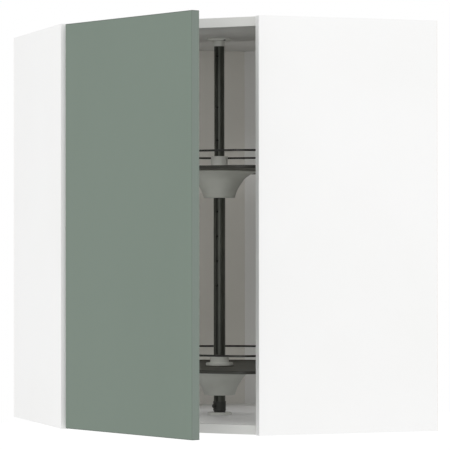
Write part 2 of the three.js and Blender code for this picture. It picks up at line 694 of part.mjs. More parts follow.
function tube(radius, z0, z1, holes, cross) {
  const body = cut(rod(radius, z0, z1, 0, 0, 24), rod(radius - tubeWall, z0 - 1, z1 + 1, 0, 0, 24));
  const groove = block(-tubeGrooveWidth / 2, tubeGrooveWidth / 2, -radius - 1, -radius + tubeGrooveDepth,
    z0 - 1, z1 + 1);
  const bores = holes.map((height) => rod(tubeHoleRadius, 0, radius + 1, 0, 0, 10)
    .rotateX(Math.PI / 2).translate(0, 0, height));
  const crossBore = rod(hubPinRadius + fit, 0, radius + 1, 0, 0, 10).rotateX(-Math.PI / 2);
  return cut(body, groove, ...bores, ...cross.map((height) => crossBore.clone().translate(0, 0, height)));
}

function hub(top, radius, height, boreRadii) {
  const profile = [[0, 0], [hubBaseRadius - 0.8, 0], [hubBaseRadius, 0.8], [hubBaseRadius, hubBaseThickness - 0.8],
    [hubBaseRadius - 0.8, hubBaseThickness], [radius + 1.2, hubBaseThickness], [radius, hubBaseThickness + 1.2],
    [radius, height - 1], [radius - 1, height], [0, height]];
  const bores = boreRadii.map(([bore, z0, z1]) => rod(bore + fit, z0, z1, 0, 0, 24));
  const pinBore = rod(hubPinRadius + fit, 0, hubBaseRadius + 1, 0, 0, 10).rotateX(-Math.PI / 2)
    .translate(0, 0, hubPinHeight);
  return cut(turned(profile), ...bores, pinBore).translate(0, 0, top);
}

function hubPin(height, from, to) {
  return rod(hubPinRadius, from, to, 0, 0, 10).rotateX(-Math.PI / 2).translate(0, 0, height);
}

// A plug in the foot of the pole that turns on the bottom bearing's spigot.
function poleFoot() {
  const bore = lowerTubeRadius - tubeWall - fit - 2.4;
  const plug = lowerTubeRadius - tubeWall - fit;
  const base = flangeTop + fit;
  const inside = flangeTop + spigotHeight + fit;
  return turned([[0, inside], [bore, inside], [bore, base], [lowerTubeRadius, base], [lowerTubeRadius, base + 1.6],
    [plug, base + 1.6], [plug, inside + 4], [0, inside + 4]]);
}

function poleClamp() {
  const base = flangeTop + clampAboveFlange;
  const outer = lowerTubeRadius + fit + clampWall;
  const boss = rod(clampKnobRadius, lowerTubeRadius, outer + clampBoss, 0, 0, 16).rotateY(Math.PI / 2)
    .translate(0, 0, base + clampHeight / 2);
  const ring = join(rod(outer, base, base + clampHeight, 0, 0, 24), boss);
  const stem = rod(screwRadius + fit, 0, outer + clampBoss + 1, 0, 0, 10).rotateY(Math.PI / 2)
    .translate(0, 0, base + clampHeight / 2);
  const opening = rod(lowerTubeRadius + fit, base - 1, base + clampHeight + 1, 0, 0, 24);
  return cut(ring, opening, stem);
}

function poleClampKnob() {
  const start = lowerTubeRadius + fit;
  const face = lowerTubeRadius + fit + clampWall + clampBoss + fit;
  const tip = face + clampKnobHeight;
  const knob = turned([[0, start], [screwRadius, start], [screwRadius, face], [clampKnobRadius - 0.5, face],
    [clampKnobRadius, face + 0.5], [clampKnobRadius, tip - 0.6], [clampKnobRadius - 0.6, tip], [0, tip]], 14);
  return knob.rotateY(Math.PI / 2).translate(0, 0, flangeTop + clampAboveFlange + clampHeight / 2);
}

function carousel() {
  const group = new THREE.Group();
  group.rotation.z = frontTurn;
  const footTop = flangeTop + fit + 1.6;
  const lowerTubeTop = upperShelfTop + 12;
  const upperTubeTop = topUnderside - bearingThickness - runningGap;
  const pins = { lower: lowerShelfTop + hubPinHeight, upper: upperShelfTop + hubPinHeight };
  const lowerHoles = holesBelowShelf.map((drop) => upperShelfTop - drop);
  const upperHoles = [...holesAboveShelf.map((rise) => upperShelfTop + rise), upperTubeTop - holeBelowTubeTop];
  group.add(
    piece('lower_pole_tube', 'darkSteel', tube(lowerTubeRadius, footTop, lowerTubeTop, lowerHoles,
      [pins.lower, pins.upper])),
    piece('upper_pole_tube', 'darkSteel', tube(upperTubeRadius, lowerTubeTop - tubeOverlap, upperTubeTop,
      upperHoles, [pins.upper])),
    piece('pole_foot', 'blackPlastic', poleFoot()),
    piece('lower_shelf', 'shelfBoard', shelf(lowerShelfTop)),
    piece('upper_shelf', 'shelfBoard', shelf(upperShelfTop)),
    piece('lower_shelf_rail', 'darkSteel', rail(lowerShelfTop)),
    piece('upper_shelf_rail', 'darkSteel', rail(upperShelfTop)),
    piece('lower_shelf_bell', 'greyPlastic', bell(lowerShelfTop - shelfThickness)),
    piece('upper_shelf_bell', 'greyPlastic', bell(upperShelfTop - shelfThickness)),
    piece('lower_hub', 'greyPlastic', hub(lowerShelfTop, lowerHubRadius, lowerHubHeight,
      [[lowerTubeRadius, -1, lowerHubHeight + 1]])),
    piece('upper_hub', 'greyPlastic', hub(upperShelfTop, upperHubRadius, upperHubHeight,
      [[lowerTubeRadius, -1, 12 + fit], [upperTubeRadius, 0, upperHubHeight + 1]])),
    piece('lower_hub_pin', 'steel', hubPin(pins.lower, lowerTubeRadius - 3, lowerHubRadius - 0.5)),
    piece('upper_hub_pin', 'steel', hubPin(pins.upper, upperTubeRadius - 3, upperHubRadius - 0.5)),
  );
  const clamp = new THREE.Group();
  clamp.rotation.z = radians(clampKnobAngle) - frontTurn;
  clamp.add(
    piece('pole_clamp', 'blackPlastic', poleClamp()),
    piece('pole_clamp_knob', 'blackPlastic', poleClampKnob()),
  );
  group.add(clamp);
  return group;
}

const cabinet = new THREE.Group();
cabinet.add(carcass(), hingesOnSide(), door(), bearings(), carousel());

export default cabinet;
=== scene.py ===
# Corner wall cabinet with a turning carousel: the looks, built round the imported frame.
# The sizes of rebuilt pieces are in millimetres and are scaled by mm. All else is in metres.
# The carousel turns about Z through the origin, and the front faces (-1, -1).
import json
import math

import bpy
import numpy as np
from mathutils import Matrix, Vector

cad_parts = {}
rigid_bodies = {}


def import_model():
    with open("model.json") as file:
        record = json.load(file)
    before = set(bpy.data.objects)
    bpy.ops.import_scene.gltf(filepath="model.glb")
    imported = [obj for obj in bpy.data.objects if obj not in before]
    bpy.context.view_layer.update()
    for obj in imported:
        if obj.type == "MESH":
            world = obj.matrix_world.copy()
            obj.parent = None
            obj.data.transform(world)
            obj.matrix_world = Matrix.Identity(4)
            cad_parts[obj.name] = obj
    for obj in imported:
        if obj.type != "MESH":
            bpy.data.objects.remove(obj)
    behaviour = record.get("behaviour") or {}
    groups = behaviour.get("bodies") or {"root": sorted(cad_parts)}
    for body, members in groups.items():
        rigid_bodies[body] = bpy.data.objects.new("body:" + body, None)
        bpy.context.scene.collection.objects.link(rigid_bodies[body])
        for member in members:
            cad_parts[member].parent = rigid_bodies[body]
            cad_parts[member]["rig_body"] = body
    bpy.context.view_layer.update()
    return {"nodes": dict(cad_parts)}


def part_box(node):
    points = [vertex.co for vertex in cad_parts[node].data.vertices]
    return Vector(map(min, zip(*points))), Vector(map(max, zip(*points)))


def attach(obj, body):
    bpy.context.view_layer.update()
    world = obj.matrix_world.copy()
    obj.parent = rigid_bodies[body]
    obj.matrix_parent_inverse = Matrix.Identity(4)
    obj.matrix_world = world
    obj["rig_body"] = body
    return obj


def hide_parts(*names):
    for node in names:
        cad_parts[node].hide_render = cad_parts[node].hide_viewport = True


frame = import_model()
nodes = frame["nodes"]
print("frame loaded:", len(nodes), "nodes")

mm = 0.001
frontAngle = math.radians(-45)     # turns +X to run along the front and -Y to face out of it
rootTwo = math.sqrt(2)


# camera
cameraSetup = {
    "place": (-1.69658, -4.89877, 0.36899),
    "heading": 19.228,             # degrees from +Y towards +X
    "tilt": 0.376,                 # degrees above the horizon
    "roll": 0.051,
    "focalLength": 203.93,         # mm, on a sensor of the width below
    "sensorWidth": 36,
    "clip": (0.1, 60),
}


def makeCamera(setup):
    heading, tilt, roll = (math.radians(setup[key]) for key in ("heading", "tilt", "roll"))
    data = bpy.data.cameras.new("camera")
    data.lens = setup["focalLength"]
    data.sensor_width, data.sensor_fit = setup["sensorWidth"], "HORIZONTAL"
    data.clip_start, data.clip_end = setup["clip"]
    camera = bpy.data.objects.new("camera", data)
    turn = (Matrix.Rotation(-heading, 4, "Z") @ Matrix.Rotation(math.pi / 2 + tilt, 4, "X")
            @ Matrix.Rotation(-roll, 4, "Z"))
    camera.matrix_world = Matrix.Translation(setup["place"]) @ turn
    bpy.context.scene.collection.objects.link(camera)
    bpy.context.scene.camera = camera


makeCamera(cameraSetup)


# shader maths
class Wire:                        # one output socket, so that sums on sockets read as sums
    def __init__(self, finish, socket):
        self.finish, self.socket = finish, socket

    def maths(self, operation, *terms):
        return self.finish.add("ShaderNodeMath", {"operation": operation}, dict(enumerate(terms)))

    def __add__(self, other):
        return self.maths("ADD", self, other)

    def __radd__(self, other):
        return self.maths("ADD", other, self)

    def __sub__(self, other):
        return self.maths("SUBTRACT", self, other)

    def __rsub__(self, other):
        return self.maths("SUBTRACT", other, self)

    def __mul__(self, other):
        return self.maths("MULTIPLY", self, other)

    def __rmul__(self, other):
        return self.maths("MULTIPLY", other, self)

    def __abs__(self):
        return self.maths("ABSOLUTE", self)

    def __gt__(self, other):
        return self.maths("GREATER_THAN", self, other)

    def __lt__(self, other):
        return self.maths("LESS_THAN", self, other)


class Finish:                      # the nodes of one material or world
    def __init__(self, name, owner=None):
        self.material = owner or bpy.data.materials.new(name)
        self.material.use_nodes = True
        self.tree = self.material.node_tree
        self.tree.nodes.clear()

    def add(self, kind, settings=None, inputs=None, output=0):
        # Any node: its settings first, a ramp's stops among them, then the values or links of its sockets.
        node = self.tree.nodes.new(kind)
        for key, value in (settings or {}).items():
            if key == "stops":
                ramp = node.color_ramp.elements
                while len(ramp) < len(value):
                    ramp.new(0.5)
                for stop, (position, colour) in zip(ramp, value):
                    stop.position, stop.color = position, (*colour, 1)
            else:
                setattr(node, key, value)
        for key, value in (inputs or {}).items():
            if isinstance(value, Wire):
                self.tree.links.new(value.socket, node.inputs[key])
            else:
                node.inputs[key].default_value = value
        return Wire(self, node.outputs[output]) if node.outputs else node

    @property
    def place(self):
        return self.add("ShaderNodeTexCoord", output="Object")

    def stretched(self, scale):    # Object coordinates, stretched along the axes
        return self.add("ShaderNodeMapping", {}, {"Vector": self.place, "Scale": scale})

    def along(self, direction):    # distance from the origin along a direction
        inputs = {0: self.place, 1: direction}
        return self.add("ShaderNodeVectorMath", {"operation": "DOT_PRODUCT"}, inputs, "Value")

    def noise(self, scale, detail=2, place=None, rough=0.5):
        inputs = {"Vector": place or self.place, "Scale": scale, "Detail": detail, "Roughness": rough}
        return self.add("ShaderNodeTexNoise", {"noise_dimensions": "3D"}, inputs)

    def cells(self, scale, place):
        inputs = {"Vector": place, "Scale": scale}
        return self.add("ShaderNodeTexVoronoi", {"feature": "F1"}, inputs, "Color")

    def ease(self, value, low, high):                # 0 at low, 1 at high, eased between
        inputs = {"Value": value, "From Min": low, "From Max": high}
        return self.add("ShaderNodeMapRange", {"interpolation_type": "SMOOTHSTEP"}, inputs)

    def greatest(self, first, *others):
        for other in others:
            first = first.maths("MAXIMUM", first, other)
        return first

    def rays(self, *kinds):        # 1 where the ray is of one of the kinds
        return self.greatest(*(self.add("ShaderNodeLightPath", output=kind) for kind in kinds))

    def painted(self, name):       # a value that the piece's own vertices carry
        return self.add("ShaderNodeAttribute", {"attribute_name": name}, output="Fac")

    def mix(self, factor, first, second):
        inputs = {0: factor, 6: opaque(first), 7: opaque(second)}
        return self.add("ShaderNodeMix", {"data_type": "RGBA"}, inputs, 2)

    def clouded(self, first, second, scale, low, high, place=None):      # two colours in soft clouds
        return self.mix(self.ease(self.noise(scale, 3, place), low, high), first, second)

    def ramp(self, factor, *stops):
        return self.add("ShaderNodeValToRGB", {"stops": stops}, {"Fac": factor})

    def bump(self, height, depth, strength=1.0, normal=None):
        sockets = {"Height": height, "Distance": depth, "Strength": strength}
        if normal:
            sockets["Normal"] = normal
        return self.add("ShaderNodeBump", {}, sockets)

    def surface(self, **sockets):
        named = {key.replace("_", " "): value for key, value in sockets.items()}
        named["Base Color"] = opaque(named["Base Color"])
        shader = self.add("ShaderNodeBsdfPrincipled", {}, named)
        self.add("ShaderNodeOutputMaterial", {}, {"Surface": shader})
        return self.material


def opaque(colour):                # a colour written as three numbers gets its fourth
    return colour if isinstance(colour, Wire) else (*colour, 1)


def screenColour(*levels):         # 0 to 255 as seen on a screen, to the linear value the shader takes
    level = np.array(levels) / 255
    return tuple(np.where(level <= 0.04045, level / 12.92, ((level + 0.055) / 1.055) ** 2.4).tolist())


# surfaces
def makePiece(name, vertices, faces, body, material, replaces, sharp=32):
    mesh = bpy.data.meshes.new(name)
    points = np.asarray(vertices, float).reshape(-1, 3)
    mesh.from_pydata(points.tolist(), [], [list(face) for face in faces])
    mesh.validate()
    mesh.shade_smooth()
    mesh.set_sharp_from_angle(angle=math.radians(sharp))
    piece = bpy.data.objects.new(name, mesh)
    bpy.context.scene.collection.objects.link(piece)
    mesh.materials.append(material)
    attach(piece, body)
    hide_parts(*replaces)
    return piece


def paint(piece, name, values):    # one value for each vertex, which the finish reads
    layer = piece.data.attributes.new(name, "FLOAT", "POINT")
    layer.data.foreach_set("value", values.astype(np.float32).ravel())


def softStep(value):               # 0 below 0, 1 above 1, and v^2 (3 - 2v) between
    level = np.clip(value, 0, 1)
    return level ** 2 * (3 - 2 * level)


def unit(vectors):                 # the same directions, one long
    return vectors / np.linalg.norm(vectors, axis=-1, keepdims=True)


def stacked(x, y, z):              # three arrays that fit together, as points
    return np.stack(np.broadcast_arrays(x, y, z), -1)


def shortened(legs, length):       # legs cut to a length, and never past 0.45 of what they were
    sizes = np.maximum(np.linalg.norm(legs, axis=1, keepdims=True), 1e-9)
    return legs / sizes * np.minimum(length, 0.45 * sizes)


def eased(profile, radius, steps=4, closed=False):
    # Each inner corner of a profile becomes a short curve: (1-t)^2 start + 2t(1-t) corner + t^2 end, where
    # start and end lie on the corner's two legs, a radius away from it.
    points = np.asarray(profile, float)
    start, end = (points + shortened(np.roll(points, shift, 0) - points, radius) for shift in (1, -1))
    t = np.linspace(0, 1, steps)[None, :, None]
    curves = (1 - t) ** 2 * start[:, None] + 2 * t * (1 - t) * points[:, None] + t ** 2 * end[:, None]
    if closed:
        return curves.reshape(-1, 2)
    return np.vstack([points[:1], curves[1:-1].reshape(-1, 2), points[-1:]])


def turned(profile, columns=72):
    # A profile of (radius, height) turned about Z: x = radius cos a, y = radius sin a, z = height.
    points = np.asarray(profile, float)
    angle = np.linspace(0, 2 * np.pi, columns, endpoint=False)
    radius, height = points[:, :1], points[:, 1:2]
    return stacked(radius * np.cos(angle), radius * np.sin(angle), height)


def gridFaces(rows, columns, closeRows):
    # Four-sided faces of a grid whose columns close into a ring, and with closeRows its rows do too.
    row = np.arange(rows if closeRows else rows - 1)[:, None]
    column = np.arange(columns)[None, :]
    ahead, beside = (row + 1) % rows, (column + 1) % columns
    corners = np.broadcast_arrays(row * columns + column, row * columns + beside,
                                  ahead * columns + beside, ahead * columns + column)
    return np.stack(corners, -1).reshape(-1, 4)


def closedGrid(rows, closeRows=False):
    # Vertices and faces of a grid of rows. Where the rows don't meet, an end row that lies in one spot is
    # made one point with a fan of triangles, and any other end row is closed by one face.
    count, columns = rows.shape[:2]
    points, faces = rows.reshape(-1, 3), gridFaces(count, columns, closeRows)
    kept, lids = np.ones(len(points), bool), []
    if not closeRows:
        first, last = np.arange(columns), np.arange((count - 1) * columns, count * columns)
        for ring, lid in ((first, first[::-1]), (last, last)):
            if np.ptp(points[ring], axis=0).max() < 1e-9:
                faces[np.isin(faces, ring)] = ring[0]
                kept[ring[1:]] = False
            else:
                lids.append(lid)
    number = np.cumsum(kept) - 1
    loops = [list(dict.fromkeys(face)) for face in number[faces].tolist()]
    return points[kept], loops + [number[lid].tolist() for lid in lids]


def turnedOver(faces):             # the same faces, seen from the other side
    return [face[::-1] for face in faces]


def joined(parts):                 # several closed surfaces as the vertices and faces of one piece
    vertices, faces, start = [], [], 0
    for points, loops in parts:
        vertices.append(points)
        faces += [[index + start for index in face] for face in loops]
        start += len(points)
    return np.vstack(vertices), faces


def makeTurned(name, profile, body, material, replaces, loop=False, columns=72, ease=0.4, height=0):
    # A profile in millimetres, with its corners eased, turned about Z at a height. It starts and ends on the
    # axis or closes into a loop. The faces are turned over where it is drawn clockwise, to face outwards.
    points = np.array(profile) * mm
    curve = eased(points, ease * mm, closed=loop) if ease else points
    vertices, faces = closedGrid(turned(curve, columns) + np.array([0, 0, height * mm]), loop)
    radius, level = curve[:, 0], curve[:, 1]
    area = (radius * np.roll(level, -1) - np.roll(radius, -1) * level).sum()
    if area < 0:
        faces = turnedOver(faces)
    return makePiece(name, vertices, faces, body, material, replaces)


def smoothCurve(points, count):
    # A smooth curve through points: on each span, the cubic whose slope at an end is half the step between
    # that end's two neighbours.
    knots = np.asarray(points, float)
    padded = np.vstack([2 * knots[0] - knots[1], knots, 2 * knots[-1] - knots[-2]])
    position = np.linspace(0, len(knots) - 1, count)
    span = np.minimum(position.astype(int), len(knots) - 2)
    t = (position - span)[:, None]
    a, b, c, d = (padded[span + step] for step in range(4))
    square, cube = 2 * a - 5 * b + 4 * c - d, 3 * b - a - 3 * c + d
    return 0.5 * (2 * b + (c - a) * t + square * t ** 2 + cube * t ** 3)


# finishes
def addFoilGrain(finish, look):
    # The faint pebble of a pressed foil: fine noise, broken up by one that is five times coarser.
    fine = finish.noise(look["grainScale"])
    coarse = finish.noise(look["grainScale"] / 5)
    return finish.bump(fine * 0.7 + coarse * 0.5, look["grainDepth"], 0.55)


foilLook = {
    "colour": screenColour(242, 242, 241.5),
    "shade": screenColour(240, 240, 239),
    "roughness": 0.42,
    "grainScale": 1400,
    "grainDepth": 0.00002,
    "bandThickness": 0.0008,       # edge banding
    # painted shade: the grey of the front band on the top and bottom boards
    "paintedShadeBand": screenColour(217, 217, 214),
    # painted shade: the grey of the top panel's underside
    "ceiling": screenColour(217, 217, 215),
    "seam": screenColour(150, 146, 138),
    "seamWidth": 0.00012,
    "seamDepth": 0.00008,
    "chip": screenColour(196, 170, 128),
    "chipLight": screenColour(222, 202, 164),
    "chipDark": screenColour(142, 112, 76),
    "chipSize": 2.2 * mm,
    "chipStretch": (0.55, 0.55, 1.5),
    "chipDepth": 0.0003,
}


def makeFoil(name, bandNormal=None, bandAt=0.0, rawFaces=(), paintedShadeBand=False, paintedShadeBelow=None, look=foilLook):
    # Foil-faced board. bandNormal and bandAt give the plane of the banded front edge, and rawFaces the planes
    # of the cut edges with bare particle board, as (direction, distance from the origin). The fifth argument
    # paints the front band grey, and a ceiling height paints the foil at and below it greyer: both are painted
    # shade.
    finish = Finish(name)
    colour = finish.clouded(look["colour"], look["shade"], 3.0, 0.35, 0.75)
    roughness = look["roughness"] + 0.06 * finish.noise(60)
    normal = addFoilGrain(finish, look)
    if bandNormal:
        seamAt = bandAt - look["bandThickness"]
        depth = abs(finish.along(bandNormal) - seamAt)
        seam = 1 - finish.ease(depth, look["seamWidth"] * 0.4, look["seamWidth"])
        # painted shade: the front band of the top and bottom boards is painted a darker grey
        if paintedShadeBand:
            colour = finish.mix(finish.along(bandNormal) > seamAt, colour, look["paintedShadeBand"])
        colour = finish.mix(seam * 0.35, colour, look["seam"])
        normal = finish.bump(1 - seam, look["seamDepth"], 0.8, normal)
    if rawFaces:
        raw = finish.greatest(*(finish.along(direction) > distance - 0.0002
                                for direction, distance in rawFaces))
        flakes = finish.cells(1 / look["chipSize"], finish.stretched(look["chipStretch"]))
        level = finish.add("ShaderNodeSeparateColor", {}, {"Color": flakes}, "Red")
        chips = finish.ramp(level * 0.75 + 0.25 * finish.noise(900, 3),
                            (0.0, look["chipDark"]), (0.35, look["chip"]), (1.0, look["chipLight"]))
        colour = finish.mix(raw, colour, chips)
        roughness = roughness + raw * 0.4
        normal = finish.bump(level * raw, look["chipDepth"], 0.6, normal)
    # painted shade: the foil at and below the ceiling's height is painted greyer
    if paintedShadeBelow:
        colour = finish.mix(finish.along((0, 0, 1)) < paintedShadeBelow + 0.0005, colour, look["ceiling"])
    return finish.surface(Base_Color=colour, Roughness=roughness, Normal=normal, IOR=1.46)


backLook = {
    "face": screenColour(235, 233, 228),
    "shade": screenColour(228, 226, 220),
    "fibre": screenColour(148, 112, 74),
    "fibreLight": screenColour(176, 140, 98),
    "fibreDark": screenColour(112, 82, 52),
    "roughness": 0.55,
    "screenScale": 1100,
    "screenDepth": 0.00006,
}


def makeBackBoard(name, outward, middle, look=backLook):
    # White-faced on the inside, bare fibreboard with its screen pattern on the outside. middle is the plane
    # between the two, from the origin along outward.
    finish = Finish(name)
    outside = finish.along(outward) > middle
    threads = finish.noise(260, 4, finish.stretched((1, 1, 0.35)), 0.7)
    screen = finish.noise(look["screenScale"], 1)
    fibre = finish.ramp(threads, (0.25, look["fibreDark"]), (0.5, look["fibre"]), (0.8, look["fibreLight"]))
    colour = finish.mix(outside, finish.clouded(look["face"], look["shade"], 2.5, 0.4, 0.7), fibre)
    roughness = look["roughness"] + outside * 0.3 + 0.05 * finish.noise(40)
    normal = finish.bump(screen * (0.3 + outside * 0.7) + threads * outside, look["screenDepth"], 0.7)
    return finish.surface(Base_Color=colour, Roughness=roughness, Normal=normal)


doorAngle = math.radians(-45 - 24.6)       # which way the door runs from its hinge, as it stands ajar
doorAlong = (math.cos(doorAngle), math.sin(doorAngle), 0)
doorInward = (-math.sin(doorAngle), math.cos(doorAngle), 0)
doorLook = {
    "colour": screenColour(112, 126, 115),
    "deep": screenColour(110, 124, 113),
    "speck": screenColour(118, 130, 121),
    "side": screenColour(114, 125, 117),
    # painted shade for the door's top, bottom and free edges
    "rim": screenColour(80, 92, 83),
    "middle": 0.4,                 # the door's mid-height
    "edgeShadeFrom": 0.3965,             # distances from the mid-height
    "edgeShadeFull": 0.3980,
    "freeEdge": 0.32626,           # the free side's plane, along the door
    "freeEdgeShadeFrom": 0.0018,            # distances from that plane
    "freeEdgeShadeFull": 0.0006,
    "roughness": 0.47,
    "grainScale": 1100,
    "grainDepth": 0.00003,
}


def makeDoorFoil(look=doorLook):
    # Matt film drawn over the door: an even colour with a slight cloud and a fine soft pebble. Painted shade
    # darkens it along the top, bottom and free edges, and its free side is a little greyer.
    finish = Finish("doorFilm")
    colour = finish.clouded(look["colour"], look["deep"], 2.2, 0.35, 0.7, finish.stretched((1, 1, 0.6)))
    speck = finish.ease(finish.noise(2400), 0.62, 0.8)
    colour = finish.mix(speck * 0.18, colour, look["speck"])
    along, edge = finish.along(doorAlong), look["freeEdge"]
    # painted shade: a dark line just inside the free edge
    line = finish.ease(along, edge - look["freeEdgeShadeFrom"], edge - look["freeEdgeShadeFull"])
    colour = finish.mix(line * 0.5, colour, look["rim"])
    colour = finish.mix(along > edge - 0.0002, colour, look["side"])
    # painted shade: darker along the top and bottom edges
    rim = finish.ease(abs(finish.along((0, 0, 1)) - look["middle"]), look["edgeShadeFrom"], look["edgeShadeFull"])
    colour = finish.mix(rim, colour, look["rim"])
    roughness = look["roughness"] + 0.08 * finish.noise(35, 3)
    return finish.surface(Base_Color=colour, Roughness=roughness, Normal=addFoilGrain(finish, look), IOR=1.47)


shelfLook = {
    "colour": screenColour(60, 60, 52),
    "fleck": screenColour(76, 76, 67),
    # painted shade for the shelf's rounded edge
    "rim": screenColour(34, 34, 29),
    "roughness": 0.46,
    "grainScale": 900,
    "grainDepth": 0.00004,
}


def makeShelfFace(look=shelfLook):
    # Dark facing with faint flecks, and painted shade on the rounded edge, where the shelf's vertices carry
    # "rim".
    finish = Finish("shelfFacing")
    fleck = finish.ease(finish.noise(1500, 3), 0.5, 0.75)
    colour = finish.mix(fleck * 0.5, look["colour"], look["fleck"])
    colour = finish.mix(finish.painted("rim"), colour, look["rim"])
    roughness = look["roughness"] + 0.1 * finish.noise(45, 3)
    return finish.surface(Base_Color=colour, Roughness=roughness, Normal=addFoilGrain(finish, look))


lacquerLook = {
    "colour": screenColour(74, 76, 69),
    "dark": screenColour(62, 64, 58),
    # painted shade for the tubes' holes and groove
    "hollow": screenColour(8, 8, 8),
    "roughness": 0.34,
    "metallic": 0.35,
    "coat": 0.25,
    "coatRoughness": 0.2,
    "peelScale": 700,
    "peelDepth": 0.00005,
}
wireLook = {**lacquerLook, "colour": screenColour(18, 18, 17), "dark": screenColour(16, 16, 15)}


def makeLacquer(name, look, holed=False):
    # Stove-lacquered steel: a dark even coat with an orange-peel skin. The tubes' holes and groove, marked on
    # their vertices, are duller and painted nearly black as painted shade.
    finish = Finish(name)
    colour = finish.clouded(look["colour"], look["dark"], 18, 0.3, 0.7)
    roughness = look["roughness"] + 0.08 * finish.noise(120)
    coat = look["coat"]
    if holed:
        hollow = finish.painted("hollow")
        colour = finish.mix(hollow, colour, look["hollow"])
        roughness, coat = roughness + hollow * 0.4, coat * (1 - hollow)
    peel = finish.bump(finish.noise(look["peelScale"], 1), look["peelDepth"], 0.4)
    return finish.surface(Base_Color=colour, Roughness=roughness, Metallic=look["metallic"], Normal=peel,
                          Coat_Weight=coat, Coat_Roughness=look["coatRoughness"])


paleLook = {
    "colour": screenColour(222, 223, 218),
    "shade": screenColour(213, 214, 209),
    "roughness": 0.4,
    "grainScale": 1800,
    "grainDepth": 0.00003,
}
# the pale moulding made darker for the bells: painted shade
shadedBellLook = {
    **paleLook,
    "colour": screenColour(195, 197, 191),
    "shade": screenColour(187, 189, 183),
    "roughness": 0.44,
}
blackLook = {
    **paleLook,
    "colour": screenColour(54, 55, 52),
    "shade": screenColour(47, 48, 45),
    "roughness": 0.42,
    "grainDepth": 0.00005,
}


def makeMoulded(name, look):
    # Moulded plastic: a fine spark-eroded grain with a slightly uneven gloss.
    finish = Finish(name)
    colour = finish.clouded(look["colour"], look["shade"], 25, 0.35, 0.7)
    roughness = look["roughness"] + 0.1 * finish.noise(220)
    grain = finish.bump(finish.noise(look["grainScale"]), look["grainDepth"], 0.6)
    return finish.surface(Base_Color=colour, Roughness=roughness, Normal=grain, IOR=1.5)


platedLook = {
    "colour": screenColour(196, 198, 200),
    "warm": screenColour(182, 181, 176),
    "roughness": 0.27,
    "brushScale": 500,
    "brushDepth": 0.00002,
}
darkLook = {
    **platedLook,
    "colour": screenColour(58, 58, 56),
    "warm": screenColour(50, 50, 48),
    "roughness": 0.4,
}


def makePlated(name, look):
    # Plated steel: brushed along its length before plating, a little cloudy.
    finish = Finish(name)
    brushed = finish.noise(look["brushScale"], 3, finish.stretched((0.15, 0.15, 1.6)))
    colour = finish.clouded(look["colour"], look["warm"], 70, 0.35, 0.7)
    roughness = look["roughness"] + 0.14 * brushed
    brush = finish.bump(brushed, look["brushDepth"], 0.5)
    return finish.surface(Base_Color=colour, Roughness=roughness, Metallic=1.0, Normal=brush)


doorFilm = makeDoorFoil()
shelfFacing = makeShelfFace()
poleLacquer = makeLacquer("poleLacquer", lacquerLook, True)
wireLacquer = makeLacquer("wireLacquer", wireLook)
paleMoulding = makeMoulded("paleMoulding", paleLook)
# painted shade: the bells get a darker copy of the pale moulding
shadedBellMoulding = makeMoulded("shadedBellMoulding", shadedBellLook)
blackMoulding = makeMoulded("blackMoulding", blackLook)
platedSteel = makePlated("platedSteel", platedLook)
darkSteel = makePlated("darkSteel", darkLook)
print("finishes made")


# carcass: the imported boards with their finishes
edges = {
    "reach": 0.330,                # wall planes
    "front": -0.040,               # front edges of the side panels
    "frontPanels": 0.25024,        # front edges of top and bottom, from the axis
    "corner": 0.35921,             # outside of the back corner, from the axis
    "cornerBoard": 0.3181,         # upright edges of the board across the back corner
    "backMiddle": 0.3172,          # between a back panel's two faces
    "ceiling": 0.782,              # underside of the top panel
}
outward = (1 / rootTwo, 1 / rootTwo, 0)
inward = (-1 / rootTwo, -1 / rootTwo, 0)
rearWall, rightWall = (0, 1, 0), (1, 0, 0)
endCuts = [(rightWall, edges["reach"]), (rearWall, edges["reach"]), (outward, edges["corner"])]
cornerCuts = [(rearWall, edges["cornerBoard"]), (rightWall, edges["cornerBoard"])]

nodeFinishes = {
    "left_side_panel": makeFoil("leftSideFoil", (0, -1, 0), -edges["front"], [(rearWall, edges["reach"])]),
    "right_side_panel": makeFoil("rightSideFoil", (-1, 0, 0), -edges["front"], [(rightWall, edges["reach"])]),
    "bottom_panel": makeFoil("bottomFoil", inward, edges["frontPanels"], endCuts, True),
    "top_panel": makeFoil("topFoil", inward, edges["frontPanels"], endCuts, True, edges["ceiling"]),
    "corner_back_board": makeFoil("cornerFoil", rawFaces=cornerCuts),
    "rear_back_panel": makeBackBoard("rearBackBoard", rearWall, edges["backMiddle"]),
    "right_back_panel": makeBackBoard("rightBackBoard", rightWall, edges["backMiddle"]),
    "door_panel": doorFilm,
}
for name, material in nodeFinishes.items():
    for materialSlot in nodes[name].material_slots:
        materialSlot.material = material
print("boards finished")


# pole
poleSizes = {
    "lower": {"radius": 11.8, "low": 24.9, "high": 530, "holes": (280, 330, 380, 430)},
    "upper": {"radius": 10.3, "low": 460, "high": 776.5, "holes": (575, 642, 746)},
    "grooveWidth": 3.0, "grooveDepth": 0.7, "grooveAt": -135,            # the last in degrees about Z
    "holeRadius": 2.6, "holeDepth": 3.2, "chamfer": 0.4,
    "fineTo": 3.4,                 # how far fine columns reach from the groove, and fine rows from a hole
    "plainFrom": 3.9,              # where the wider columns start
    "foot": [[0, 43.3], [7.9, 43.3], [7.9, 23.3], [11.8, 23.3], [11.8, 24.9], [10.3, 24.9], [10.3, 47.3],
             [0, 47.3]],
}


